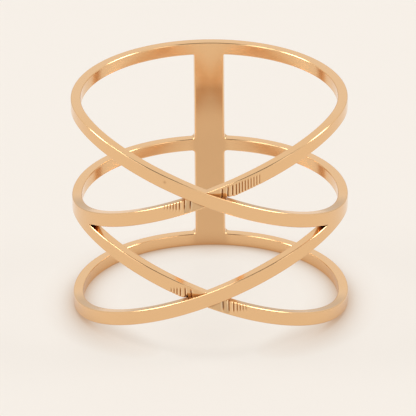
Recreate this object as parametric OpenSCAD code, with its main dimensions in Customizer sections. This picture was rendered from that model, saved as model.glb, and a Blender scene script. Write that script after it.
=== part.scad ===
// Open criss-cross ring: three bands joined by a bar at the back,
// and two crossings of slim strands at the front, all in one piece of metal.
// The finger goes along Z. The bar is at +Y, the crossings face -Y, and the ring stands on z = 0.

/* [Ring] */
// Inner diameter, where the finger goes
inner_d = 17.3; // [15:0.1:21]
// Thickness of the metal, from the finger side to the outside
wall = 0.675; // [0.6:0.025:0.9]
// Height of the ring, from the bottom rim to the top rim
ring_h = 15.25; // [14.5:0.25:17]
// Height of each band
band_w = 0.87; // [0.7:0.01:1]
// Height of a strand at a crossing, square to its run
strand_w = 0.97; // [0.8:0.01:1.05]

/* [Back bar] */
// Width of the upright bar at the back
bar_w = 2.05; // [1.2:0.05:3]
// Radius of the fillets between the bar and the middle and bottom bands
bar_fillet = 0.25; // [0.15:0.05:0.35]
// Radius of the fillets between the bar and the top band
top_fillet = 0.1; // [0.05:0.05:0.35]

/* [Crossings] */
// Height of the middle of the upper crossing
upper_cross_h = 11.8; // [11.3:0.1:12]
// Height of the middle of the lower crossing
lower_cross_h = 4.4; // [4:0.1:4.7]
// Slope of the strands at a crossing, in degrees
cross_slope = 22.5; // [20:0.5:24]
// Angle round the ring in which a strand climbs from a crossing to the band above
climb_run = 76; // [72:1:84]
// Angle round the ring in which a strand falls from a crossing to the band below
fall_run = 93; // [88:1:100]
// Turn of both crossings away from the point opposite the bar
cross_turn = -1.6; // [-4:0.1:4]

/* [Under-strands] */
// Tilt of an under-strand's face beside a crossing, where it sinks from its free edge to the over-strand
face_tilt = 20; // [10:1:22]
// Angles from the upper crossing at which the tilt has run out: [right, left]
upper_tilt_end = [12, 10]; // [9.5:0.5:20]
// Angles from the lower crossing at which the tilt has run out: [right, left]
lower_tilt_end = [10, 10.5]; // [9.5:0.5:20]

/* [Flutes] */
// Number of flutes beside the upper crossing: [right, left]
upper_flutes = [12, 8]; // [1:1:12]
// Number of flutes beside the lower crossing: [right, left]
lower_flutes = [7, 6]; // [1:1:12]
// Angle from a crossing to its first flute
flute_start = 6.7; // [5:0.1:7]
// Angle between the first two flutes of a row
flute_gap = 2.4; // [2:0.1:2.6]
// Each gap's share of the gap before it
gap_ratio = 0.78; // [0.7:0.01:0.95]
// Least angle between two flutes
least_gap = 1.25; // [1:0.05:1.5]
// Depth of the first flute of a row
flute_depth = 0.08; // [0.03:0.01:0.1]
// Width of a flute, as an angle round the ring
flute_width = 0.8; // [0.4:0.1:0.9]

/* [Hidden] */

inner_r = inner_d / 2;
outer_r = inner_r + wall;
middle_r = (inner_r + outer_r) / 2;

// Radii of the cutters, clear of the metal on both sides
cut_r0 = inner_r - 1.5;
cut_r1 = outer_r + 1.5;
// How far a cutter stands past an edge that it trims
past = 0.5;
// How far outside the metal a tilted cut starts, so that it leaves the free edge whole
tilt_clear = 0.02;
// How far a flute runs past the edge that it opens at, and how far it ends from the free edge at least
flute_past = 0.04;
flute_end = 0.08;
// How far a cut along a rim rises out of the metal at its last station
rim_clear = 0.02;
// Height of the blunt corner at a window's end
corner_h = 0.03;
// Angle on both sides of a window's corner between which a tilted cut runs straight
pass_by = 0.4;
// Angle between two stations of a curved edge, and of a flat one
fine_step = 2.5;
flat_step = 25;

// Heights of the middle lines of the three bands
top_h = ring_h - band_w / 2;
middle_h = ring_h / 2;
bottom_h = band_w / 2;
// Climb of a strand at a crossing, in mm for each degree round the ring
cross_rate = tan(cross_slope) * middle_r * PI / 180;

// Each strand from its crossing to its band: [height at the crossing, height at the band, run]
climb_to_top = [upper_cross_h, top_h, climb_run];
fall_to_middle = [upper_cross_h, middle_h, fall_run];
climb_to_middle = [lower_cross_h, middle_h, climb_run];
fall_to_bottom = [lower_cross_h, bottom_h, fall_run];

// Share of its run that a strand has covered at angle a from the crossing
function share(strand, a) = min(a / strand[2], 1);

// Height of a strand's middle line: a cubic that leaves the crossing at cross_slope and ends level
function height(strand, a) =
    let(
        t = share(strand, a),
        rate = sign(strand[1] - strand[0]) * cross_rate * strand[2]
    )
    strand[0] + (strand[1] - strand[0]) * t * t * (3 - 2 * t) + rate * t * (1 - t) * (1 - t);

// Slope of a strand's middle line, in mm for each mm round the ring
function slope(strand, a) =
    let(
        t = share(strand, a),
        rate = sign(strand[1] - strand[0]) * cross_rate * strand[2],
        climb = (strand[1] - strand[0]) * 6 * t * (1 - t) + rate * (1 - t) * (1 - 3 * t)
    )
    climb / (strand[2] * middle_r * PI / 180);

// Height of a strand square to its run, which narrows from the crossing to its band, slowly at first
function strand_height(strand, a) = band_w + (strand_w - band_w) * pow(1 - pow(share(strand, a), 3), 2);

// Height of a strand's upper edge (side = 1) or lower edge (side = -1)
function edge(strand, a, side) =
    height(strand, a) + side * strand_height(strand, a) / 2 * sqrt(1 + pow(slope(strand, a), 2));

// Gap between the strand above and the strand below at angle a, less the height of a blunt corner
function gap(above, below, a) = edge(above, a, -1) - edge(below, a, 1) - corner_h;

// Angle at which the gap passes the height of a blunt corner between angles a0 and a1, found by halving
function gap_end(above, below, a0, a1, turns = 30) =
    let(a = (a0 + a1) / 2)
    turns == 0 ? a :
    gap(above, below, a) * gap(above, below, a0) > 0
        ? gap_end(above, below, a, a1, turns - 1)
        : gap_end(above, below, a0, a, turns - 1);

// Angles at which the windows end in a corner
upper_corner = gap_end(climb_to_top, fall_to_middle, 0, 30);
lower_corner = gap_end(climb_to_middle, fall_to_bottom, 0, 30);
fork = gap_end(fall_to_middle, climb_to_middle, 20, climb_run);

// Stations from angle a0 to angle a1, no further apart than step
function stations(a0, a1, step) =
    let(n = ceil((a1 - a0) / step))
    [for (i = [0 : n]) a0 + (a1 - a0) * i / n];

// Rise of a fillet of radius r at distance d from the wall that it runs into
function fillet(r, d) = d >= r ? 0 : r - sqrt(r * r - (r - d) * (r - d));

// Stations of a window from its corner to the bar's side at angle a1, with a fillet's stations last
function window_stations(corner, a1) =
    let(fillet_angle = bar_fillet / middle_r * 180 / PI)
    concat(
        stations(corner, fall_run, fine_step),
        [for (a = stations(fall_run, a1 - fillet_angle, flat_step)) if (a > fall_run) a],
        [for (turn = [15 : 15 : 90]) a1 - fillet_angle * (1 - sin(turn))]
    );

// Point at radius r and angle a from the front, at height z
function on_ring(r, a, z) = [r * sin(a), -r * cos(a), z];

// Solid through columns that end clear of the metal outside
// Each is [angle, lowest height, highest height, inner radius at the lowest, inner radius at the highest]
module column_solid(columns) {
    last = len(columns) - 1;
    points = [
        for (c = columns) each [
            on_ring(c[3], c[0], c[1]),
            on_ring(cut_r1, c[0], c[1]),
            on_ring(cut_r1, c[0], c[2]),
            on_ring(c[4], c[0], c[2])
        ]
    ];
    sides = [
        for (i = [0 : last - 1], k = [0 : 3])
            let(m = (k + 1) % 4)
            each [
                [4 * i + k, 4 * i + m, 4 * i + 4 + k],
                [4 * i + m, 4 * i + 4 + m, 4 * i + 4 + k]
            ]
    ];
    polyhedron(points, concat(sides, [[3, 2, 1, 0]], [[for (k = [0 : 3]) 4 * last + k]]));
}

// Plain tube that the ring is cut from
module sleeve() {
    difference() {
        cylinder(h = ring_h, r = outer_r, $fn = 180);
        translate([0, 0, -past])
            cylinder(h = ring_h + 2 * past, r = inner_r, $fn = 180);
    }
}

// Window between two strands, from their corner at the crossing round to the bar's side at angle bar_a
module side_window(above, below, corner, bar_a, ceiling_fillet) {
    mm_per_degree = PI / 180 * middle_r;
    column_solid([
        for (a = window_stations(corner, bar_a))
            let(to_bar = (bar_a - a) * mm_per_degree)
            [
                a,
                edge(below, a, 1) + fillet(bar_fillet, to_bar),
                edge(above, a, -1) - fillet(ceiling_fillet, to_bar),
                cut_r0,
                cut_r0
            ]
    ]);
}

// Both windows at one side of the ring
module side_windows(bar_a) {
    side_window(climb_to_top, fall_to_middle, upper_corner, bar_a, top_fillet);
    side_window(climb_to_middle, fall_to_bottom, lower_corner, bar_a, bar_fillet);
}

// Window in the middle of the front, between the two crossings
module front_window() {
    column_solid([
        for (a = stations(-fork, fork, fine_step))
            [a, edge(climb_to_middle, abs(a), 1), edge(fall_to_middle, abs(a), -1), cut_r0, cut_r0]
    ]);
}

// Rise at a station of a cut along a rim: none but at its last station, on both sides
function rim_rise(a, last) = abs(a) > last - 0.001 ? rim_clear : 0;

// Space above the upper crossing
module above_strands() {
    column_solid([
        for (a = stations(-climb_run, climb_run, fine_step))
            let(low = edge(climb_to_top, abs(a), 1) + rim_rise(a, climb_run))
            [a, low, ring_h + past, cut_r0, cut_r0]
    ]);
}

// Space below the lower crossing
module below_strands() {
    column_solid([
        for (a = stations(-fall_run, fall_run, fine_step))
            let(high = edge(fall_to_bottom, abs(a), -1) - rim_rise(a, fall_run))
            [a, -past, high, cut_r0, cut_r0]
    ]);
}

// Height at which an under-strand's bare face ends towards its over-strand, at angle a from the crossing
// side is 1 where the under-strand is above the over-strand, and -1 where it is below
function near_edge(under, over, a, side) =
    side > 0
        ? max(edge(under, a, -1), edge(over, a, 1))
        : min(edge(under, a, 1), edge(over, a, -1));

// Height halfway across the window beside an under-strand, or the over-strand's edge before the window
function beside(under, over, a, side) =
    side > 0
        ? max(edge(over, a, 1), (edge(over, a, 1) + edge(under, a, -1)) / 2)
        : min(edge(over, a, -1), (edge(over, a, -1) + edge(under, a, 1)) / 2);

// Sink of a tilted face for each mm from its free edge: even up to the window's corner, then running out
function sink(a, corner, end) = tan(face_tilt) * min(max((end - a) / (end - corner), 0), 1);

// Radius of a tilted cut at a height that is distance away from the free edge
function tilted_r(a, corner, end, distance) = outer_r + tilt_clear - sink(a, corner, end) * distance;

// Metal taken off an under-strand to tilt its face, from the crossing to the angle end
module tilted_cut(under, over, side, corner, end) {
    angles = concat(
        stations(0, corner - pass_by, fine_step),
        stations(corner + pass_by, end, fine_step)
    );
    column_solid([
        for (a = angles)
            let(
                free = edge(under, a, side),
                near = beside(under, over, a, side),
                far = free + side * past,
                near_r = tilted_r(a, corner, end, abs(near - free)),
                far_r = tilted_r(a, corner, end, -past)
            )
            side > 0 ? [a, near, far, near_r, far_r] : [a, far, near, far_r, near_r]
    ]);
}

// Angle of flute i from its crossing
function flute_angle(i) =
    i == 0 ? flute_start : flute_angle(i - 1) + max(flute_gap * pow(gap_ratio, i - 1), least_gap);

// One flute: a V cut that is deepest where it opens and runs out at its tip, each given as [radius, height]
module flute(a, open, tip, depth) {
    clear = 0.02;
    upward = tip[1] > open[1];
    polyhedron(
        [
            on_ring(open[0] + clear, a - flute_width / 2, open[1]),
            on_ring(open[0] + clear, a + flute_width / 2, open[1]),
            on_ring(open[0] - depth, a, open[1]),
            on_ring(tip[0] + clear, a, tip[1])
        ],
        upward
            ? [[0, 1, 2], [1, 0, 3], [2, 1, 3], [0, 2, 3]]
            : [[2, 1, 0], [3, 0, 1], [3, 1, 2], [3, 2, 0]]
    );
}

// Row of flutes on an under-strand, each open towards the over-strand
// reach holds the share of the bare face's height that the first and the last flute run over
module flutes(under, over, side, corner, end, count, reach) {
    for (i = [0 : count - 1]) {
        a = flute_angle(i);
        done = i / max(count - 1, 1);
        near = near_edge(under, over, a, side);
        bare = abs(edge(under, a, side) - near);
        length = min((reach[0] + (reach[1] - reach[0]) * done) * bare, bare - flute_end);
        start = a > corner + flute_width ? -flute_past : flute_past;
        flute(
            a,
            [min(outer_r, tilted_r(a, corner, end, bare - start)), near + side * start],
            [min(outer_r, tilted_r(a, corner, end, bare - length)), near + side * length],
            flute_depth * (1 - done / 2)
        );
    }
}

module ring() {
    bar_half = asin(bar_w / 2 / middle_r);
    color("#e2b482")
        difference() {
            sleeve();
            rotate([0, 0, cross_turn]) {
                above_strands();
                below_strands();
                front_window();
                // Right of the crossings
                side_windows(180 - bar_half - cross_turn);
                tilted_cut(climb_to_top, fall_to_middle, 1, upper_corner, upper_tilt_end[0]);
                tilted_cut(fall_to_bottom, climb_to_middle, -1, lower_corner, lower_tilt_end[0]);
                flutes(
                    climb_to_top, fall_to_middle, 1, upper_corner,
                    upper_tilt_end[0], upper_flutes[0], [1, 0.8]
                );
                flutes(
                    fall_to_bottom, climb_to_middle, -1, lower_corner,
                    lower_tilt_end[0], lower_flutes[0], [1, 0.4]
                );
                // Left of the crossings
                mirror([1, 0, 0]) {
                    side_windows(180 - bar_half + cross_turn);
                    tilted_cut(fall_to_middle, climb_to_top, -1, upper_corner, upper_tilt_end[1]);
                    tilted_cut(climb_to_middle, fall_to_bottom, 1, lower_corner, lower_tilt_end[1]);
                    flutes(
                        fall_to_middle, climb_to_top, -1, upper_corner,
                        upper_tilt_end[1], upper_flutes[1], [0.95, 0.3]
                    );
                    flutes(
                        climb_to_middle, fall_to_bottom, 1, lower_corner,
                        lower_tilt_end[1], lower_flutes[1], [1, 0.4]
                    );
                }
            }
        }
}

ring();
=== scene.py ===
"""Open criss-cross ring: looks, stage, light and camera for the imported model."""

import math
from collections import namedtuple

import bpy
import numpy as np
from mathutils import Matrix, Vector


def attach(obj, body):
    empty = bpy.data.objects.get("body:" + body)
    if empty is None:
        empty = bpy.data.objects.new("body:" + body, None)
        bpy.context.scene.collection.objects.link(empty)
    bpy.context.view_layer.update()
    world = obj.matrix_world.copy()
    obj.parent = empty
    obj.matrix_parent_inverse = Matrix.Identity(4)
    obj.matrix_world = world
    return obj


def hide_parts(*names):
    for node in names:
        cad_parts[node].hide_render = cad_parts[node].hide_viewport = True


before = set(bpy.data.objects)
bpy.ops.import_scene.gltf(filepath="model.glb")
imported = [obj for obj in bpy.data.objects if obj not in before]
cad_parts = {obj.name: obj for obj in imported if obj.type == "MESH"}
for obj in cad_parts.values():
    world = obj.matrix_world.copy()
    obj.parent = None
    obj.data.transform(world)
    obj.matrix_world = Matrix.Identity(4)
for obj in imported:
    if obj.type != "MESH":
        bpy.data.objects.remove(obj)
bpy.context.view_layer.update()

bl_info = {
    "name": "Criss-cross ring",
    "version": (1, 0, 0),
    "blender": (4, 5, 0),
    "location": "View3D > Sidebar > Ring",
    "description": "Builds a polished openwork ring with crossing strands, and a plain studio around it",
    "category": "Add Mesh",
}

MM = 0.001


# Settings

class RING_PG_sizes(bpy.types.PropertyGroup):
    """Sizes of the ring"""

    inner_diameter: bpy.props.FloatProperty(
        name="Inner diameter", description="Diameter of the finger hole",
        default=0.0173, unit="LENGTH")
    wall: bpy.props.FloatProperty(
        name="Wall", description="Thickness of the metal", default=0.000675, unit="LENGTH")
    height: bpy.props.FloatProperty(
        name="Height", description="From the bottom rim to the top rim", default=0.01525, unit="LENGTH")
    band: bpy.props.FloatProperty(
        name="Band height", description="Height of each band", default=0.00087, unit="LENGTH")
    strand: bpy.props.FloatProperty(
        name="Strand height", description="Height of a strand at a crossing, square to its run",
        default=0.00097, unit="LENGTH")
    bar: bpy.props.FloatProperty(
        name="Bar width", description="Width of the upright bar at the back",
        default=0.00205, unit="LENGTH")
    bar_fillet: bpy.props.FloatProperty(
        name="Bar fillet", description="Fillet between the bar and the middle and bottom bands",
        default=0.00025, unit="LENGTH")
    top_fillet: bpy.props.FloatProperty(
        name="Top fillet", description="Fillet between the bar and the top band",
        default=0.0001, unit="LENGTH")
    edge: bpy.props.FloatProperty(
        name="Edge rounding", description="Radius of the polished edges", default=0.00009, unit="LENGTH")
    upper_cross: bpy.props.FloatProperty(
        name="Upper crossing", description="Height of the upper crossing", default=0.0118, unit="LENGTH")
    lower_cross: bpy.props.FloatProperty(
        name="Lower crossing", description="Height of the lower crossing", default=0.0044, unit="LENGTH")
    cross_slope: bpy.props.FloatProperty(
        name="Crossing slope", description="Slope of the strands at a crossing",
        default=math.radians(22.5), subtype="ANGLE", unit="ROTATION")
    climb_run: bpy.props.FloatProperty(
        name="Climb", description="Angle in which a strand climbs from a crossing to the band above",
        default=math.radians(76), subtype="ANGLE", unit="ROTATION")
    fall_run: bpy.props.FloatProperty(
        name="Fall", description="Angle in which a strand falls from a crossing to the band below",
        default=math.radians(93), subtype="ANGLE", unit="ROTATION")
    cross_turn: bpy.props.FloatProperty(
        name="Crossing turn", description="Turn of the crossings away from the point opposite the bar",
        default=math.radians(-1.6), subtype="ANGLE", unit="ROTATION")
    face_tilt: bpy.props.FloatProperty(
        name="Face tilt",
        description="Tilt of an under-strand's face, from its free edge down to the over-strand",
        default=math.radians(20), subtype="ANGLE", unit="ROTATION")
    flute_depth: bpy.props.FloatProperty(
        name="Flute depth", description="Depth of the first flute", default=0.00008, unit="LENGTH")
    flute_bevel: bpy.props.FloatProperty(
        name="Flute bevel",
        description="Width of the worn bevel beside a flute, on the side of the crossing",
        default=math.radians(0.45), subtype="ANGLE", unit="ROTATION")
    flute_wall: bpy.props.FloatProperty(
        name="Flute wall", description="Width of each of a flute's two walls",
        default=math.radians(0.25), subtype="ANGLE", unit="ROTATION")
    flute_start: bpy.props.FloatProperty(
        name="First flute", description="Angle from a crossing to its first flute",
        default=math.radians(6.7), subtype="ANGLE", unit="ROTATION")
    flute_gap: bpy.props.FloatProperty(
        name="First gap", description="Angle between the first two flutes of a row",
        default=math.radians(2.4), subtype="ANGLE", unit="ROTATION")
    gap_ratio: bpy.props.FloatProperty(
        name="Gap ratio", description="Each gap's share of the gap before it",
        default=0.78, min=0.5, max=0.99)
    least_gap: bpy.props.FloatProperty(
        name="Least gap", description="Least angle between two flutes",
        default=math.radians(1.25), subtype="ANGLE", unit="ROTATION")


class RING_PG_looks(bpy.types.PropertyGroup):
    """Colours and finish"""

    gold: bpy.props.FloatVectorProperty(
        name="Gold", description="Colour of the metal",
        subtype="COLOR", size=3, min=0, max=1, default=(0.83, 0.535, 0.285))
    # Painted shade: the dark brown put into flutes, creases, forks and the inside of the bar where shade
    # falls
    painted_shade: bpy.props.FloatVectorProperty(
        name="Painted shade", description="Colour of the metal in the recesses",
        subtype="COLOR", size=3, min=0, max=1, default=(0.36, 0.17, 0.07))
    # Painted highlight: the pale gold put on the flutes' bevels where bright reflections fall
    painted_highlight: bpy.props.FloatVectorProperty(
        name="Painted highlight", description="Colour of the worn ridges",
        subtype="COLOR", size=3, min=0, max=1, default=(0.98, 0.78, 0.52))
    roughness: bpy.props.FloatProperty(
        name="Roughness", description="Roughness of the polished metal", default=0.09, min=0, max=1)
    satin: bpy.props.FloatProperty(
        name="Satin", description="Roughness of the inside, which the finger touches",
        default=0.16, min=0, max=1)
    floor: bpy.props.FloatVectorProperty(
        name="Floor", description="Colour of the floor",
        subtype="COLOR", size=3, min=0, max=1, default=(0.15, 0.147, 0.145))
    glow: bpy.props.FloatVectorProperty(
        name="Glow", description="Light that the floor gives off, as paper on a light table does",
        subtype="COLOR", size=3, min=0, max=1, default=(0.673, 0.628, 0.573))
    shade: bpy.props.FloatVectorProperty(
        name="Shade",
        description="Share of the glow that is left where the metal meets the floor, warm from the gold",
        subtype="COLOR", size=3, min=0, max=1, default=(0.60, 0.40, 0.25))
    shade_reach: bpy.props.FloatProperty(
        name="Shade reach", description="How far from the metal the floor is shaded",
        default=0.0024, unit="LENGTH")
    sky: bpy.props.FloatVectorProperty(
        name="Surround", description="Colour of the studio's soft surround",
        subtype="COLOR", size=3, min=0, max=1, default=(1.0, 0.97, 0.93))
    walls: bpy.props.FloatProperty(
        name="Walls", description="Brightness of the studio's walls", default=0.95, min=0)
    dark_band: bpy.props.FloatProperty(
        name="Dark band",
        description="Brightness of the dark band in front of the zenith, against the walls",
        default=0.02, min=0, max=1)
    skirting: bpy.props.FloatProperty(
        name="Skirting", description="Brightness of the walls low down", default=0.75, min=0)
    side_lights: bpy.props.FloatProperty(
        name="Side lights",
        description="Brightness of the lights at the left and the right, against the walls",
        default=10.0, min=1)
    front_lights: bpy.props.FloatProperty(
        name="Front lights", description="Brightness of the two lights in front, against the walls",
        default=2.2, min=1)
    high_light: bpy.props.FloatProperty(
        name="High light", description="Brightness of the high light at the left, against the walls",
        default=6.0, min=1)


# Shape of the strands, in mm and degrees

Strand = namedtuple("Strand", "cross_h band_h run rate half_strand half_band radius")

# A row of flutes beside a crossing: the angle at which the face's tilt has faded out, the number of flutes,
# the first and the last one's length as a share of the face, and how evenly deep they are along it
Row = namedtuple("Row", "tilt_end count reach even")
UPPER_ROWS = {
    1: Row(tilt_end=12, count=12, reach=(1.0, 0.8), even=6),
    -1: Row(tilt_end=10, count=8, reach=(0.95, 0.3), even=2),
}
LOWER_ROWS = {
    1: Row(tilt_end=10, count=7, reach=(1.0, 0.4), even=3),
    -1: Row(tilt_end=10.5, count=6, reach=(1.0, 0.4), even=3),
}

# Halvings of the range in which crossing_of searches
HALVINGS = 60


def middle(strand, a):
    """Height of a strand's middle line at angle a from its crossing"""
    t = np.clip(a / strand.run, 0, 1)
    rate = strand.rate * strand.run
    rise = strand.band_h - strand.cross_h
    return strand.cross_h + rise * t * t * (3 - 2 * t) + rate * t * (1 - t) ** 2


def slope(strand, a):
    """Slope of a strand's middle line, in mm for each mm round the ring"""
    t = np.clip(a / strand.run, 0, 1)
    rate = strand.rate * strand.run
    rise = strand.band_h - strand.cross_h
    climb = rise * 6 * t * (1 - t) + rate * (1 - t) * (1 - 3 * t)
    return climb / (strand.run * strand.radius * math.pi / 180)


def edge_height(strand, a, side):
    """Height of a strand's upper edge (side 1) or lower edge (side -1)

    A strand narrows from its crossing to its band, slowly at first.
    """
    t = np.clip(a / strand.run, 0, 1)
    half = strand.half_band + (strand.half_strand - strand.half_band) * (1 - t ** 3) ** 2
    return middle(strand, a) + side * half * np.sqrt(1 + slope(strand, a) ** 2)


def crossing_of(f, a0, a1):
    """Angle between a0 and a1 at which f changes sign"""
    for _ in range(HALVINGS):
        a = (a0 + a1) / 2
        if f(a) * f(a0) > 0:
            a0 = a
        else:
            a1 = a
    return (a0 + a1) / 2


# Mesh made of patches, each a grid of corners with its own normals

# Size in mm of the cells in which corners become one vertex, and a shift that keeps round numbers off
# the limits between cells
WELD = 2e-5
WELD_SHIFT = 0.3137


class Patches:
    """Collects grids of points, normals and painted light, and welds them into one mesh"""

    def __init__(self):
        self.corners = []
        self.normals = []
        self.painted_light_and_marks = []

    def grid(self, points, normals, painted_light_and_marks=None):
        """Adds a grid of quads: points and normals are [stations, rows, 3], and wear is [stations, rows]

        It is -1 for full painted shade, 0 on plain metal and 1 for full painted highlight; a small dark mark
        uses it too.
        """
        if points.shape[0] < 2 or points.shape[1] < 2:
            return
        painted_light_and_marks = np.zeros(points.shape[:2]) if painted_light_and_marks is None else painted_light_and_marks
        corners, directions, marks = (
            np.stack([g[:-1, :-1], g[1:, :-1], g[1:, 1:], g[:-1, 1:]], axis=2).reshape(-1, 4, g.shape[2])
            for g in (points, normals, painted_light_and_marks[..., None]))
        across = np.cross(corners[:, 2] - corners[:, 0], corners[:, 3] - corners[:, 1])
        if np.einsum("ij,ij->", across, directions.sum(axis=1)) < 0:
            corners, directions, marks = corners[:, ::-1], directions[:, ::-1], marks[:, ::-1]
        self.corners.append(corners)
        self.normals.append(directions)
        self.painted_light_and_marks.append(marks[..., 0])

    def mesh(self, name):
        """Welds the patches: corners at one place become one vertex, and faces of no area are dropped"""
        corners = np.concatenate(self.corners)
        normals = np.concatenate(self.normals)
        normals /= np.linalg.norm(normals, axis=2, keepdims=True)
        key = np.floor(corners.reshape(-1, 3) / WELD + WELD_SHIFT).astype(np.int64)
        _, first, index = np.unique(key, axis=0, return_index=True, return_inverse=True)
        points = corners.reshape(-1, 3)[first] * MM
        faces, loops, marks = [], [], []
        for face, normal, mark in zip(index.reshape(-1, 4), normals, np.concatenate(self.painted_light_and_marks)):
            kept = []
            for k in range(4):
                if not kept or face[k] != face[kept[-1]]:
                    kept.append(k)
            if face[kept[0]] == face[kept[-1]]:
                kept.pop()
            if len(set(face[kept])) < max(len(kept), 3):
                continue
            faces.append([int(face[k]) for k in kept])
            loops.extend(normal[k] for k in kept)
            marks.extend(float(mark[k]) for k in kept)
        mesh = bpy.data.meshes.new(name)
        mesh.from_pydata(points.tolist(), [], faces)
        mesh.shade_smooth()
        mesh.normals_split_custom_set([tuple(n) for n in loops])
        mesh.attributes.new("painted_light_and_marks", "FLOAT", "CORNER").data.foreach_set("value", marks)
        return mesh


# One half of the ring: the upper crossing with the top band, or the lower one turned upside down

# Turns of an edge's rounding, and the rows of an outer and an inner face as shares of its height
FILLET_TURNS = np.linspace(0, math.pi / 2, 6)
FACE_ROWS = np.linspace(0, 1, 13)
INNER_ROWS = np.linspace(0, 1, 3)
# Angle in which an under-strand's free edge comes up from the notch at the crossing, and its rounding grows
NOTCH_RUN = 0.9
# How far from the free edge a flute ends at least, in mm
FLUTE_END = 0.1
# Depth of a flute's bevel at its inner end, as a share of the flute's depth
BEVEL_DEPTH = 0.2
# How softly the tilt of an under-strand's face fades out, as a share of the tilt
TILT_SOFT = 0.05
# Steps along each leg of a fillet, up the bar, and from the bar's edge to its middle
LEG_STEPS = 3
SHAFT_STEPS = 12
CORE_STEPS = 3
# Stations round the ring, in degrees: up to where they are close, how close, and how far apart beyond
CLOSE_END = 24.0
CLOSE_STEP = 0.5
WIDE_STEP = 2.0
# Stations while a rounding grows from a notch, and how far to either side of a flute's kinks stations lie
NOTCH_STATIONS = 7
KINK_SIDE = 0.02
# Step for the slopes of a face, in degrees and in mm
SLOPE_STEP = 0.01
# Angles closer than this, in degrees, are the same
SAME_ANGLE = 1e-9
# Small dark mark on the upper left over-strand: angle from the crossing, height and size in mm, and how dark
# it is
NICK = (17.2, 12.94, 0.09)
NICK_DARKENING = -0.5
# Painted shade inside the bar: heights in mm, how much it has there, and how far it fades out beside the bar
BAR_PAINTED_SHADE = ((2, 9.6, 10.7, 11.8, 12.5), (0.22, 0.22, 0.42, 0.42, 0))
BAR_FADE = 0.4
# Painted shade on an under-strand's face beside its over-strand: all over, added where they meet, and how
# far that fades, in mm
FACE_PAINTED_SHADE = 0.1
STEP_PAINTED_SHADE = 0.5
STEP_FADE = 0.16
# Painted light across a flute, from the side of the crossing: places in widths of its wall, and the painted
# light
# there: painted highlight above 0, painted shade below 0
FLUTE_PLACES = np.array([-3.2, -2.0, -1.2, -0.6, 0.3, 0.9, 1.5])
FLUTE_PAINTED_LIGHT = (0, 0.8, 0.7, -0.7, -1, -0.6, 0)
# Painted shade where two strands part: how much, and the degrees in which it stays whole and then fades
CORNER_PAINTED_SHADE = 0.8
CORNER_WHOLE = 1.2
CORNER_FADE = 1.8
# Painted shade in a fork: how much, and the degrees in which it fades
FORK_PAINTED_SHADE = 0.9
FORK_FADE = 7
# Degrees in which the roundings grow out of a fork, and the inner one where two strands part
FORK_RUN = 3
CORNER_RUN = 0.6
# Degrees in which the dividing line of an over-strand's flat goes back to the outer rounding
SPLIT_RUN = 10


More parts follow.
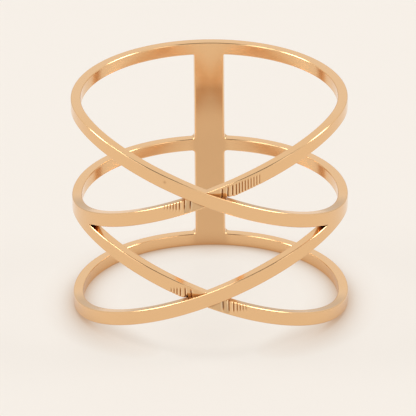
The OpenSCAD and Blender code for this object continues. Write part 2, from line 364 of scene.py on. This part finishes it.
class Half:
    """The strands and bands on one side of the middle height, with z up towards the rim band"""

    def __init__(self, sizes, cross_h, rim_run, mid_run, rim_fillet, rows, flipped):
        self.r_in = sizes.inner_diameter / 2 / MM
        self.r_out = self.r_in + sizes.wall / MM
        self.radius = (self.r_in + self.r_out) / 2
        self.height = sizes.height / MM
        self.band = sizes.band / MM
        self.bar = sizes.bar / MM
        self.edge = sizes.edge / MM
        self.turn = math.degrees(sizes.cross_turn)
        self.tilt = math.tan(sizes.face_tilt)
        self.mid_fillet = sizes.bar_fillet / MM
        self.rim_fillet = rim_fillet / MM
        self.rows = rows
        self.flipped = flipped
        self.flute_depth = sizes.flute_depth / MM
        self.bevel, self.wall = math.degrees(sizes.flute_bevel), math.degrees(sizes.flute_wall)
        gap, least = math.degrees(sizes.flute_gap), math.degrees(sizes.least_gap)
        most = max(row.count for row in rows.values())
        steps = np.maximum(gap * sizes.gap_ratio ** np.arange(most), least)
        self.flute_at = math.degrees(sizes.flute_start) + np.concatenate([[0], np.cumsum(steps)])
        rate = math.tan(sizes.cross_slope) * self.radius * math.pi / 180
        halves = sizes.strand / MM / 2, self.band / 2
        self.rim = Strand(cross_h / MM, self.height - self.band / 2, rim_run, rate, *halves, self.radius)
        self.mid = Strand(cross_h / MM, self.height / 2, mid_run, -rate, *halves, self.radius)
        self.corner = crossing_of(
            lambda a: edge_height(self.rim, a, -1) - edge_height(self.mid, a, 1), 0.5, 30)

    # Places

    def place(self, side, r, a, z):
        """Points at radius r, angle a from the crossing on one side (1 right, -1 left), and height z"""
        turn = np.radians(self.turn + side * np.asarray(a, float))
        z = self.height - z if self.flipped else z
        return np.stack(np.broadcast_arrays(r * np.sin(turn), -r * np.cos(turn), z), axis=-1)

    def direct(self, side, a, n_r, n_a, n_z):
        """Directions with parts outward, away from the crossing and up"""
        turn = np.radians(self.turn + side * np.asarray(a, float))
        n_z = -n_z if self.flipped else n_z
        return np.stack(np.broadcast_arrays(
            n_r * np.sin(turn) + n_a * side * np.cos(turn),
            -n_r * np.cos(turn) + n_a * side * np.sin(turn),
            n_z + 0 * turn), axis=-1)

    # Outer face of an under-strand

    def free_edge(self, side, a):
        """Height of an under-strand's edge away from its over-strand"""
        return edge_height(self.rim, a, 1) if side > 0 else edge_height(self.mid, a, -1)

    def near_edge(self, side, a):
        """Height at which an under-strand's bare face ends towards its over-strand"""
        if side > 0:
            return np.maximum(edge_height(self.rim, a, -1), edge_height(self.mid, a, 1))
        return np.minimum(edge_height(self.mid, a, 1), edge_height(self.rim, a, -1))

    def flutes(self, side, a, z):
        """For each flute of a row: the angle from its middle, and the share of its depth it has at z"""
        row = self.rows[side]
        for i, at in enumerate(self.flute_at[:row.count]):
            done = i / max(row.count - 1, 1)
            full = abs(float(self.free_edge(side, at) - self.near_edge(side, at)))
            share = row.reach[0] + (row.reach[1] - row.reach[0]) * done
            length = min(share * full, full - FLUTE_END)
            along = np.clip(row.even * (1 - np.abs(z - self.near_edge(side, a)) / length), 0, 1)
            yield a - at, along * (1 - done / 2)

    def under_r(self, side, a, z):
        """Outer radius of an under-strand, sinking from its free edge to the over-strand, less the flutes"""
        row = self.rows[side]
        free, near = self.free_edge(side, a), self.near_edge(side, a)
        bare = np.abs(free - near)
        left = np.minimum((row.tilt_end - a) / (row.tilt_end - self.corner), 1)
        fading = (left + TILT_SOFT) ** 2 / (4 * TILT_SOFT)
        left = np.where(left > TILT_SOFT, left, np.where(left < -TILT_SOFT, 0, fading))
        deep = self.tilt * left * bare
        deep = np.where(a < self.corner, np.maximum(deep, self.edge), deep)
        notch = np.clip(a / NOTCH_RUN, 0, 1)
        notch = self.edge * (1 - notch * notch * (3 - 2 * notch))
        down = np.clip(np.abs(free - z) / np.maximum(bare, 1e-6), 0, 1)
        r = self.r_out - notch - (deep - notch) * down
        places = (-self.wall - self.bevel, -self.wall, 0, self.wall)
        for off, along in self.flutes(side, a, z):
            r = r - self.flute_depth * along * np.interp(off, places, (0, BEVEL_DEPTH, 1, 0))
        return r

    def under_painted_light(self, side, a, z):
        """Painted light on an under-strand's face: painted shade in flutes and by the over-strand, painted
        highlight on bevels
        """
        away = np.abs(z - self.near_edge(side, a))
        held = np.clip(self.corner + 1 - a, 0, 1)
        painted_light_and_marks = -held * (FACE_PAINTED_SHADE + STEP_PAINTED_SHADE * np.clip(1 - away / STEP_FADE, 0, 1))
        for off, along in self.flutes(side, a, z):
            mark = np.interp(off, self.wall * FLUTE_PLACES, FLUTE_PAINTED_LIGHT)
            painted_light_and_marks = painted_light_and_marks * (1 - along * (mark != 0)) + along * mark
        return np.clip(painted_light_and_marks, -1, 1)

    def over_mark(self, side, a, z):
        """Darkening of an over-strand's face, which is plain but for one small dark mark"""
        if self.flipped or side > 0:
            return 0 * a
        away = np.hypot(np.radians(a - NICK[0]) * self.r_out, z - NICK[1])
        return NICK_DARKENING * np.exp(-(away / NICK[2]) ** 2)

    def bar_painted_shade(self, x, z):
        """Painted shade inside the bar, and round it: x is the distance from its middle"""
        z = self.height - z if self.flipped else z
        beside = np.clip((x - self.bar / 2) / BAR_FADE, 0, 1)
        return -np.interp(z, *BAR_PAINTED_SHADE) * (1 - beside)

    def face_normal(self, surface, a, z):
        """Parts outward, along and up of the normal of a face given by its radius"""
        e = SLOPE_STEP
        per_mm = 180 / math.pi / self.r_out
        along = (surface(a + e, z) - surface(a - e, z)) / (2 * e) * per_mm
        up = (surface(a, z + e) - surface(a, z - e)) / (2 * e)
        size = np.sqrt(1 + along ** 2 + up ** 2)
        return 1 / size, -along / size, -up / size

    # Stations round the ring

    def stations(self, side, strand_fillet, corners, fork):
        """Angles of the stations, from the crossing to the middle of the bar"""
        back = 180 - side * self.turn
        x = np.concatenate([
            np.linspace(self.bar / 2 + strand_fillet, self.bar / 2 - self.edge, LEG_STEPS + 1),
            np.linspace(self.bar / 2 - self.edge, 0, CORE_STEPS + 1)[1:]])
        zone = back - np.degrees(x / self.radius)
        kinks = np.array([-self.wall - self.bevel, -self.wall, 0, self.wall])
        across = np.concatenate([kinks - KINK_SIDE, kinks + KINK_SIDE, [-self.wall - self.bevel / 2]])
        flutes = (self.flute_at[:self.rows[side].count, None] + across[None]).ravel()
        notch = np.linspace(0, NOTCH_RUN, NOTCH_STATIONS)[1:]
        near = np.concatenate([notch, self.corner + notch])
        fixed = np.array([0.0, *corners, CLOSE_END, fork, self.rim.run, self.mid.run])
        free = np.concatenate([
            np.arange(0, CLOSE_END, CLOSE_STEP), np.arange(CLOSE_END, zone[0] - CLOSE_STEP, WIDE_STEP)])
        for added, apart in ((near, 0.1), (flutes, 0.1), (fixed, 0.015)):
            free = free[np.min(np.abs(free[:, None] - added[None]), axis=1) > apart]
            if added is not fixed:
                free = np.concatenate([free, added])
        return np.concatenate([np.sort(np.concatenate([free, np.unique(fixed)])), zone])

    # Patches

    def face(self, out, side, a, low, high, surface, painted_light_and_marks):
        """Outer face between two rows of heights"""
        z = low[:, None] + (high - low)[:, None] * FACE_ROWS[None]
        a = np.repeat(a[:, None], len(FACE_ROWS), axis=1)
        out.grid(self.place(side, surface(a, z), a, z),
                 self.direct(side, a, *self.face_normal(surface, a, z)), painted_light_and_marks(a, z))

    def rim_rows(self, out, side, a, z_edge, way, tilt, surface, outer, inner, split, painted_flat_shade, fillet, wall):
        """Rounded edge between the outer and the inner face: way is 1 on an upper edge, -1 on a lower one

        tilt is the slope of the strand. outer and inner are the radii of the two roundings, and split is
        the radius at which the flat between them is divided. The next argument is the painted shade on the
        flat.
        fillet and wall say at which stations the part outside the split and the part inside it are bare.
        """
        q = np.sqrt(1 + tilt ** 2)
        e_a, e_z = -way * tilt / q, way / q
        turns = FILLET_TURNS[None]
        a2 = np.repeat(a[:, None], turns.shape[1], axis=1)
        z = z_edge[:, None] - way * (outer * q)[:, None] * (1 - np.sin(turns))
        r = surface(a2, z) - outer[:, None] * (1 - np.cos(turns))
        n_r, n_a, n_z = self.face_normal(surface, a2, z)
        self.part(out, self.place(side, r, a2, z), self.direct(
            side, a2,
            n_r * np.cos(turns),
            n_a * np.cos(turns) + e_a[:, None] * np.sin(turns),
            n_z * np.cos(turns) + e_z[:, None] * np.sin(turns)), fillet)

        top, foot = r[:, -1], self.r_in + inner
        split = top if split is None else split
        pair = a2[:, :2]
        flat = self.direct(side, pair, 0 * pair, e_a[:, None] + 0 * pair, e_z[:, None] + 0 * pair)
        z2 = np.repeat(z_edge[:, None], 2, axis=1)
        self.part(out, self.place(side, np.stack([top, split], axis=1), pair, z2), flat, fillet,
                  np.stack([-painted_flat_shade / 3, -painted_flat_shade], axis=1))
        self.part(out, self.place(side, np.stack([split, foot], axis=1), pair, z2), flat, wall,
                  np.stack([-painted_flat_shade, -painted_flat_shade], axis=1))

        turns = turns[:, ::-1]
        z = z_edge[:, None] - way * (inner * q)[:, None] * (1 - np.sin(turns))
        r = self.r_in + inner[:, None] * (1 - np.cos(turns))
        self.part(out, self.place(side, r, a2, z), self.direct(
            side, a2,
            -np.cos(turns) + 0 * a2,
            e_a[:, None] * np.sin(turns),
            e_z[:, None] * np.sin(turns)), wall)

    def part(self, out, points, normals, bare, painted_light_and_marks=None):
        """Adds the run of stations where bare holds"""
        kept = np.flatnonzero(bare)
        if len(kept) > 1:
            run = slice(kept[0], kept[-1] + 1)
            out.grid(points[run], normals[run], None if painted_light_and_marks is None else painted_light_and_marks[run])

    def strand_quarter(self, out, side, strand, corners, fork, seam):
        """One strand from its crossing round to the middle of the bar, on one side"""
        is_rim = strand is self.rim
        under = is_rim == (side > 0)
        other = self.mid if is_rim else self.rim
        touch = -1 if is_rim else 1
        a = self.stations(side, self.rim_fillet if is_rim else self.mid_fillet, corners, fork)
        tilt = slope(strand, a)
        q = np.sqrt(1 + tilt ** 2)
        in_step = a <= self.corner + SAME_ANGLE
        past_step = a >= self.corner - SAME_ANGLE
        off_bar = np.arange(len(a)) < len(a) - LEG_STEPS - CORE_STEPS

        def grow(start, run):
            return np.clip((a - start) / run, 0, 1)

        # The near edge touches the other strand up to the corner; the far edge is bare, or ends at the fork
        near, far = edge_height(strand, a, touch), edge_height(strand, a, -touch)
        near_inner = self.edge * grow(self.corner, CORNER_RUN)
        near_wall = past_step & off_bar
        # Painted shade on the flat where the two strands part
        painted_flat_shade = CORNER_PAINTED_SHADE * np.clip(1 - (a - self.corner - CORNER_WHOLE) / CORNER_FADE, 0, 1)
        if under:
            def surface(a, z):
                return self.under_r(side, a, z)

            def painted_light_and_marks(a, z):
                return self.under_painted_light(side, a, z)

            near = np.where(in_step, edge_height(other, a, -touch), near)
            near_outer = self.edge * grow(self.corner, NOTCH_RUN)
            far_outer = self.edge * grow(0, NOTCH_RUN)
            near_fillet = near_wall
            split = None
        else:
            def surface(a, z):
                return self.r_out + 0 * a

            def painted_light_and_marks(a, z):
                return self.over_mark(side, a, z)

            near_outer = far_outer = self.edge + 0 * a
            near_fillet = off_bar
            # The flat is divided where the under-strand's face stands on it
            corner = np.array(self.corner)
            held = self.under_r(side, corner, edge_height(strand, corner, touch))
            split = np.where(in_step, self.under_r(side, a, near),
                             held + (self.r_out - self.edge - held) * grow(self.corner, SPLIT_RUN))
        far_inner = self.edge + 0 * a
        far_bare = np.ones_like(a, bool)
        far_painted_shade = 0 * a
        if not is_rim:
            # Painted shade on the flat in the fork
            far_painted_shade = FORK_PAINTED_SHADE * np.clip(1 - (fork - a) / FORK_FADE, 0, 1)
            far_bare = a <= fork + SAME_ANGLE
            to_fork = np.clip((fork - a) / FORK_RUN, 0, 1)
            far_outer, far_inner = far_outer * to_fork, far_inner * to_fork

        # Heights at which the two faces end
        step = edge_height(self.mid, a, 1) if side > 0 else edge_height(self.rim, a, -1)
        lift = self.edge * np.sqrt(1 + slope(self.mid if side > 0 else self.rim, a) ** 2)
        step = step - side * lift * np.clip(1 - a / self.corner, 0, 1)
        near_in = np.where(in_step, step, near - touch * near_inner * q)
        near_out = near - touch * near_outer * q
        far_in = np.where(far_bare, far + touch * far_inner * q, seam)
        far_out = np.where(far_bare, far + touch * far_outer * q, seam)
        way = -touch
        self.face(out, side, a, *(near_out, far_out)[::way], surface, painted_light_and_marks)
        low, high = (near_in, far_in)[::way]
        z = low[:, None] + (high - low)[:, None] * INNER_ROWS[None]
        a3 = np.repeat(a[:, None], len(INNER_ROWS), axis=1)
        x = np.radians(180 - side * self.turn - a3) * self.radius
        out.grid(self.place(side, self.r_in + 0 * a3, a3, z),
                 self.direct(side, a3, -1 + 0 * a3, 0 * a3, 0 * a3), self.bar_painted_shade(x, z))

        self.rim_rows(out, side, a, near, touch, tilt, surface, near_outer, near_inner, split, painted_flat_shade,
                      near_fillet, near_wall)
        self.rim_rows(out, side, a, far, -touch, tilt, surface, far_outer, far_inner, None, far_painted_shade,
                      far_bare, far_bare)

    def bar_side(self, out, side):
        """One side of the bar between the middle band and the rim band, with its fillets"""
        w, f = self.bar / 2, self.edge
        z0, z1 = self.height / 2 + self.band / 2, self.height - self.band
        back = 180 - side * self.turn
        n = 2 * LEG_STEPS

        def turn_out(fillet, base, way):
            """Outline points of a fillet from the band to the bar, with directions into the metal"""
            t = np.linspace(0, math.pi / 2, n + 1)
            u = np.stack([-np.sin(t), -way * np.cos(t)], axis=1)
            centre = np.array([w + fillet, base + way * fillet])
            return centre + fillet * u, u

        foot_p, foot_u = turn_out(self.mid_fillet, z0, 1)
        head_p, head_u = turn_out(self.rim_fillet, z1, -1)
        shaft_z = np.linspace(z0 + self.mid_fillet, z1 - self.rim_fillet, SHAFT_STEPS + 1)
        shaft_p = np.stack([np.full_like(shaft_z, w), shaft_z], axis=1)
        shaft_u = np.tile([-1.0, 0.0], (len(shaft_z), 1))
        p = np.concatenate([foot_p, shaft_p[1:-1], head_p[::-1]])
        u = np.concatenate([foot_u, shaft_u[1:-1], head_u[::-1]])

        def spread(x):
            return back - np.degrees(x / self.radius)

        def rows(turns, r, inward):
            """Edge rows along the outline: inward is 1 for the outer rounding and -1 for the inner one"""
            d = f * (1 - np.sin(turns))[None]
            x, z = p[:, :1] + u[:, :1] * d, p[:, 1:] + u[:, 1:] * d
            a = spread(x)
            n_r = inward * np.cos(turns)[None] + 0 * a
            tip = np.sin(turns)[None]
            out.grid(self.place(side, r[None] + 0 * a, a, z),
                     self.direct(side, a, n_r, u[:, :1] * tip, -u[:, 1:] * tip))

        turns = FILLET_TURNS
        rows(turns, self.r_out - f * (1 - np.cos(turns)), 1)
        rows(np.full(2, math.pi / 2), np.array([self.r_out - f, self.r_in + f]), 1)
        rows(turns[::-1], self.r_in + f * (1 - np.cos(turns[::-1])), -1)

        # Flat faces: a core block, and a strip between each fillet and the block's corner
        core_x = np.linspace(w - f, 0, CORE_STEPS + 1)
        core_z = np.concatenate([
            np.linspace(z0 - f, z0 + self.mid_fillet, LEG_STEPS + 1),
            shaft_z[1:-1],
            np.linspace(z1 - self.rim_fillet, z1 + f, LEG_STEPS + 1)])
        for r, way in ((self.r_out, 1), (self.r_in, -1)):
            def flat(x, z):
                a = spread(x)
                painted_light_and_marks = self.bar_painted_shade(x, z) if way < 0 else 0 * a
                out.grid(self.place(side, r + 0 * a, a, z),
                         self.direct(side, a, way + 0 * a, 0 * a, 0 * a), painted_light_and_marks)

            flat(*np.meshgrid(core_x, core_z))
            for fillet, base, up, arc_p, arc_u in (
                    (self.mid_fillet, z0, 1, foot_p, foot_u), (self.rim_fillet, z1, -1, head_p, head_u)):
                arc = arc_p + f * arc_u
                leg = np.concatenate([
                    np.stack([np.linspace(w + fillet, w - f, LEG_STEPS + 1),
                              np.full(LEG_STEPS + 1, base - up * f)], axis=1),
                    np.stack([np.full(LEG_STEPS, w - f),
                              np.linspace(base - up * f, base + up * fillet, LEG_STEPS + 1)[1:]], axis=1)])
                strip = np.stack([arc, leg], axis=1)
                flat(strip[..., 0], strip[..., 1])

    def build(self, out, corners, fork, seam):
        """All patches of this half"""
        for side in (1, -1):
            for strand in (self.rim, self.mid):
                self.strand_quarter(out, side, strand, corners, fork, seam)
            self.bar_side(out, side)


def ring_mesh(sizes):
    """The whole ring as one closed mesh"""
    climb, fall = math.degrees(sizes.climb_run), math.degrees(sizes.fall_run)
    upper = Half(
        sizes, sizes.upper_cross, climb, fall, sizes.top_fillet, UPPER_ROWS, False)
    lower = Half(
        sizes, sizes.height - sizes.lower_cross, fall, climb, sizes.bar_fillet, LOWER_ROWS, True)
    height = upper.height
    fork = crossing_of(
        lambda a: edge_height(upper.mid, a, -1) + edge_height(lower.mid, a, -1) - height, 20, climb)
    seam = float(edge_height(upper.mid, np.array(fork), -1))
    corners = (upper.corner, lower.corner)
    out = Patches()
    upper.build(out, corners, fork, seam)
    lower.build(out, corners, fork, height - seam)
    return out.mesh("ring_metal")


# Materials

def node_tree(material):
    """An emptied node tree"""
    material.use_nodes = True
    material.node_tree.nodes.clear()
    return material.node_tree


# Cloudiness of the polish: scale, detail, the noise's range and the roughness's share at either end
CLOUD_SCALE = 900
CLOUD_DETAIL = 3
CLOUD_RANGE = (0.3, 0.7)
CLOUD_ROUGH = (0.75, 1.3)
# Width in metres in which the satin sets in at the inner wall
SATIN_EDGE = 0.00005
# Polishing lines run round the ring: scale across and up, detail, strength and depth in metres
HAIR_SCALE = (2500, 2500, 22000)
HAIR_DETAIL = 4
HAIR_STRENGTH = 0.06
HAIR_DEPTH = 0.00001


def gold_material(looks, inner_radius):
    """Polished rose gold: a faintly cloudy polish with hairlines, satin inside, painted shade in recesses
    and painted highlights on ridges
    """
    material = bpy.data.materials.new("rose_gold")
    tree = node_tree(material)
    new, link = tree.nodes.new, tree.links.new
    coords = new("ShaderNodeTexCoord")
    metal = new("ShaderNodeBsdfPrincipled")
    metal.inputs["Metallic"].default_value = 1.0

    # Painted shade where the attribute is below 0, and painted highlights where it is above
    painted_light_and_marks = new("ShaderNodeAttribute")
    painted_light_and_marks.attribute_name = "painted_light_and_marks"
    colour = None
    for limit, tint in ((-1, looks.painted_shade), (1, looks.painted_highlight)):
        amount = new("ShaderNodeMapRange")
        amount.inputs["From Max"].default_value = limit
        link(painted_light_and_marks.outputs["Fac"], amount.inputs["Value"])
        mix = new("ShaderNodeMix")
        mix.data_type = "RGBA"
        mix.inputs["A"].default_value = (*looks.gold, 1)
        mix.inputs["B"].default_value = (*tint, 1)
        link(amount.outputs["Result"], mix.inputs["Factor"])
        if colour:
            link(colour, mix.inputs["A"])
        colour = mix.outputs["Result"]
    link(colour, metal.inputs["Base Color"])

    # Cloudy polish outside, and satin inside
    cloud = new("ShaderNodeTexNoise")
    cloud.inputs["Scale"].default_value = CLOUD_SCALE
    cloud.inputs["Detail"].default_value = CLOUD_DETAIL
    link(coords.outputs["Object"], cloud.inputs["Vector"])
    rough = new("ShaderNodeMapRange")
    rough.inputs["From Min"].default_value = CLOUD_RANGE[0]
    rough.inputs["From Max"].default_value = CLOUD_RANGE[1]
    rough.inputs["To Min"].default_value = looks.roughness * CLOUD_ROUGH[0]
    rough.inputs["To Max"].default_value = looks.roughness * CLOUD_ROUGH[1]
    link(cloud.outputs["Fac"], rough.inputs["Value"])
    flat = new("ShaderNodeVectorMath")
    flat.operation = "MULTIPLY"
    flat.inputs[1].default_value = (1, 1, 0)
    link(coords.outputs["Object"], flat.inputs[0])
    radius = new("ShaderNodeVectorMath")
    radius.operation = "LENGTH"
    link(flat.outputs["Vector"], radius.inputs[0])
    inside = new("ShaderNodeMapRange")
    inside.inputs["From Min"].default_value = inner_radius + SATIN_EDGE
    inside.inputs["From Max"].default_value = inner_radius
    inside.inputs["To Max"].default_value = looks.satin
    link(radius.outputs["Value"], inside.inputs["Value"])
    both = new("ShaderNodeMath")
    both.operation = "MAXIMUM"
    link(rough.outputs["Result"], both.inputs[0])
    link(inside.outputs["Result"], both.inputs[1])
    link(both.outputs["Value"], metal.inputs["Roughness"])

    # Fine polishing lines
    stretch = new("ShaderNodeMapping")
    stretch.inputs["Scale"].default_value = HAIR_SCALE
    link(coords.outputs["Object"], stretch.inputs["Vector"])
    hair = new("ShaderNodeTexNoise")
    hair.inputs["Scale"].default_value = 1
    hair.inputs["Detail"].default_value = HAIR_DETAIL
    link(stretch.outputs["Vector"], hair.inputs["Vector"])
    bump = new("ShaderNodeBump")
    bump.inputs["Strength"].default_value = HAIR_STRENGTH
    bump.inputs["Distance"].default_value = HAIR_DEPTH
    link(hair.outputs["Fac"], bump.inputs["Height"])
    link(bump.outputs["Normal"], metal.inputs["Normal"])
    result = new("ShaderNodeOutputMaterial")
    link(metal.outputs["BSDF"], result.inputs["Surface"])
    return material


# How the shade on the floor grows with the share of the sky that is hidden: its power and its weight
SHADE_SPREAD = 1.15
SHADE_WEIGHT = 1.75
SHADE_SAMPLES = 16
PAPER_ROUGHNESS = 0.8
# Faint unevenness of the paper: scale, and the darker tone's share of the colour
GRAIN_SCALE = 120
GRAIN_TONE = 0.99


def floor_material(looks):
    """Matte warm paper"""
    material = bpy.data.materials.new("floor_paper")
    tree = node_tree(material)
    new, link = tree.nodes.new, tree.links.new
    coords = new("ShaderNodeTexCoord")
    paper = new("ShaderNodeBsdfPrincipled")
    paper.inputs["Roughness"].default_value = PAPER_ROUGHNESS
    paper.inputs["Emission Strength"].default_value = 1

    # Glow, shaded where the metal stands near
    near = new("ShaderNodeAmbientOcclusion")
    near.samples = SHADE_SAMPLES
    near.inputs["Distance"].default_value = looks.shade_reach
    hidden = new("ShaderNodeMath")
    hidden.operation = "SUBTRACT"
    hidden.inputs[0].default_value = 1
    link(near.outputs["AO"], hidden.inputs[1])
    spread = new("ShaderNodeMath")
    spread.operation = "POWER"
    spread.inputs[1].default_value = SHADE_SPREAD
    link(hidden.outputs["Value"], spread.inputs[0])
    weight = new("ShaderNodeMath")
    weight.operation = "MULTIPLY"
    weight.use_clamp = True
    weight.inputs[1].default_value = SHADE_WEIGHT
    link(spread.outputs["Value"], weight.inputs[0])
    glow = new("ShaderNodeMix")
    glow.data_type = "RGBA"
    glow.inputs["A"].default_value = (*looks.glow, 1)
    glow.inputs["B"].default_value = (*[a * b for a, b in zip(looks.glow, looks.shade)], 1)
    link(weight.outputs["Value"], glow.inputs["Factor"])
    link(glow.outputs["Result"], paper.inputs["Emission Color"])

    # Grain
    grain = new("ShaderNodeTexNoise")
    grain.inputs["Scale"].default_value = GRAIN_SCALE
    link(coords.outputs["Object"], grain.inputs["Vector"])
    tone = new("ShaderNodeMix")
    tone.data_type = "RGBA"
    tone.inputs["A"].default_value = (*[c * GRAIN_TONE for c in looks.floor], 1)
    tone.inputs["B"].default_value = (*looks.floor, 1)
    link(grain.outputs["Fac"], tone.inputs["Factor"])
    link(tone.outputs["Result"], paper.inputs["Base Color"])
    result = new("ShaderNodeOutputMaterial")
    link(paper.outputs["BSDF"], result.inputs["Surface"])
    return material


# The dark band of the surround: the angles up from the front horizon, in degrees, between which it sets in
# and between which it fades past the zenith, and the sines between which it ends at the sides
BAND_RISE = (46, 52)
BAND_FALL = (94, 98)
BAND_ASIDE = (0.29, 0.36)
# The height angles between which the darker foot of the walls ends, in degrees
SKIRTING_RISE = (8, 20)
# The round lights, in degrees: height, turn from the front, and radius of the full light and of its rim
Light = namedtuple("Light", "rise turn inner outer")
SIDE_LIGHT = Light(40, 97, 9, 15)
FRONT_LIGHT = Light(38, 44, 7, 12)
HIGH_LIGHT = Light(59, 72, 6, 11)


def studio_world(looks):
    """Soft surround: pale walls with round lights, and a dark upright band in front of the zenith"""
    world = bpy.data.worlds.new("studio")
    world.use_nodes = True
    tree = world.node_tree
    tree.nodes.clear()
    new, link = tree.nodes.new, tree.links.new
    coords = new("ShaderNodeTexCoord")
    split = new("ShaderNodeSeparateXYZ")
    link(coords.outputs["Generated"], split.inputs["Vector"])

    def blend(value, limits, low, high):
        """A smooth step from low to high while the value runs from the one limit to the other"""
        node = new("ShaderNodeMapRange")
        node.interpolation_type = "SMOOTHSTEP"
        node.inputs["From Min"].default_value = limits[0]
        node.inputs["From Max"].default_value = limits[1]
        node.inputs["To Min"].default_value = low
        node.inputs["To Max"].default_value = high
        link(value, node.inputs["Value"])
        return node.outputs["Result"]

    def times(a, b):
        """The product of two sockets"""
        node = new("ShaderNodeMath")
        node.operation = "MULTIPLY"
        link(a, node.inputs[0])
        link(b, node.inputs[1])
        return node.outputs["Value"]

    def spot(light, side, brightness):
        """A round light at the right (side 1) or left (side -1): its brightness inside, and 1 outside"""
        toward = new("ShaderNodeVectorMath")
        toward.operation = "DOT_PRODUCT"
        rise, turn = math.radians(light.rise), math.radians(side * light.turn)
        toward.inputs[1].default_value = (
            math.cos(rise) * math.sin(turn), -math.cos(rise) * math.cos(turn), math.sin(rise))
        link(coords.outputs["Generated"], toward.inputs[0])
        rim = math.cos(math.radians(light.outer)), math.cos(math.radians(light.inner))
        return blend(toward.outputs["Value"], rim, 1, brightness)

    # Dark band, by the angle about X from the front horizon and by the distance to either side
    front = new("ShaderNodeMath")
    front.operation = "MULTIPLY"
    front.inputs[1].default_value = -1
    link(split.outputs["Y"], front.inputs[0])
    lift = new("ShaderNodeMath")
    lift.operation = "ARCTAN2"
    link(split.outputs["Z"], lift.inputs[0])
    link(front.outputs["Value"], lift.inputs[1])
    aside = new("ShaderNodeMath")
    aside.operation = "ABSOLUTE"
    link(split.outputs["X"], aside.inputs[0])
    band = times(blend(aside.outputs["Value"], BAND_ASIDE, 1, 0), times(
        blend(lift.outputs["Value"], [math.radians(limit) for limit in BAND_RISE], 0, 1),
        blend(lift.outputs["Value"], [math.radians(limit) for limit in BAND_FALL], 1, 0)))
    strength = blend(band, (0, 1), 1, looks.dark_band)

    # Walls with their darker foot, and the lights
    foot = [math.sin(math.radians(limit)) for limit in SKIRTING_RISE]
    strength = times(strength, blend(split.outputs["Z"], foot, looks.walls * looks.skirting, looks.walls))
    for light, side, brightness in (
            (SIDE_LIGHT, -1, looks.side_lights),
            (SIDE_LIGHT, 1, looks.side_lights),
            (FRONT_LIGHT, -1, looks.front_lights),
            (FRONT_LIGHT, 1, looks.front_lights),
            (HIGH_LIGHT, -1, looks.high_light)):
        strength = times(strength, spot(light, side, brightness))
    sky = new("ShaderNodeBackground")
    sky.inputs["Color"].default_value = (*looks.sky, 1)
    link(strength, sky.inputs["Strength"])
    result = new("ShaderNodeOutputWorld")
    link(sky.outputs["Background"], result.inputs["Surface"])
    return world


# Operators

# A mesh with fewer faces than this has failed
LEAST_FACES = 1000
# Half the floor's width, in metres
FLOOR_HALF = 3.0


class RING_OT_build(bpy.types.Operator):
    """Builds the ring's metal in place of its CAD node"""

    bl_idname = "ring.build"
    bl_label = "Build ring"

    def execute(self, context):
        sizes = context.scene.ring_sizes
        mesh = ring_mesh(sizes)
        if len(mesh.polygons) < LEAST_FACES:
            raise RuntimeError("the ring's mesh came out empty")
        mesh.materials.append(gold_material(context.scene.ring_looks, sizes.inner_diameter / 2))
        ring = bpy.data.objects.new("ring_metal", mesh)
        context.scene.collection.objects.link(ring)
        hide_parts("ring")
        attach(ring, "root")
        return {"FINISHED"}


class RING_OT_stage(bpy.types.Operator):
    """Lays the floor and sets up the surround, the light and the camera"""

    bl_idname = "ring.stage"
    bl_label = "Set the stage"

    def execute(self, context):
        scene = context.scene
        looks = scene.ring_looks
        mesh = bpy.data.meshes.new("floor")
        s = FLOOR_HALF
        mesh.from_pydata([(-s, -s, 0), (s, -s, 0), (s, s, 0), (-s, s, 0)], [], [(0, 1, 2, 3)])
        mesh.materials.append(floor_material(looks))
        floor = bpy.data.objects.new("floor", mesh)
        scene.collection.objects.link(floor)

        scene.world = studio_world(looks)
        scene.view_settings.view_transform = "Standard"

        data = bpy.data.cameras.new("camera")
        camera = bpy.data.objects.new("camera", data)
        scene.collection.objects.link(camera)
        place_camera(camera)
        scene.camera = camera
        if camera.location.z < camera.data.clip_start:
            raise RuntimeError("the camera is not above the floor")
        return {"FINISHED"}


def place_camera(camera):
    """The photo's view: 25 degrees down, 0.6 m away, the picture turned by a little"""
    # Image size, and where the point on the axis at half height lies in it
    size, centre = 416, (210.05, 199.7)
    px_per_m = 14785
    distance = 0.6
    down, roll = math.radians(25.1), math.radians(0.5)
    aim = Vector((0, 0, 0.0075))
    back = Vector((0, -math.cos(down), math.sin(down)))
    up = Vector((0, math.sin(down), math.cos(down)))
    right = Vector((1, 0, 0))
    turned_up = up * math.cos(roll) + right * math.sin(roll)
    turned_right = right * math.cos(roll) - up * math.sin(roll)
    turn = Matrix((turned_right, turned_up, back)).transposed()
    camera.matrix_world = Matrix.Translation(aim + back * distance) @ turn.to_4x4()
    data = camera.data
    data.sensor_width = 36
    data.lens = data.sensor_width * px_per_m * distance / size
    data.shift_x = (size / 2 - centre[0]) / size
    data.shift_y = (centre[1] - size / 2) / size
    data.dof.use_dof = False
    data.clip_start = 0.01
    data.clip_end = 20


class RING_PT_panel(bpy.types.Panel):
    """Ring settings in the 3D view's sidebar"""

    bl_idname = "RING_PT_panel"
    bl_label = "Criss-cross ring"
    bl_space_type = "VIEW_3D"
    bl_region_type = "UI"
    bl_category = "Ring"

    def draw(self, context):
        layout = self.layout
        for group in (context.scene.ring_sizes, context.scene.ring_looks):
            for name in group.__annotations__:
                layout.prop(group, name)
        layout.operator(RING_OT_build.bl_idname)
        layout.operator(RING_OT_stage.bl_idname)


CLASSES = (RING_PG_sizes, RING_PG_looks, RING_OT_build, RING_OT_stage, RING_PT_panel)


def register():
    for cls in CLASSES:
        bpy.utils.register_class(cls)
    bpy.types.Scene.ring_sizes = bpy.props.PointerProperty(type=RING_PG_sizes)
    bpy.types.Scene.ring_looks = bpy.props.PointerProperty(type=RING_PG_looks)


def unregister():
    del bpy.types.Scene.ring_looks
    del bpy.types.Scene.ring_sizes
    for cls in reversed(CLASSES):
        bpy.utils.unregister_class(cls)


def main():
    register()
    bpy.ops.ring.build()
    bpy.ops.ring.stage()


if __name__ == "__main__":
    main()
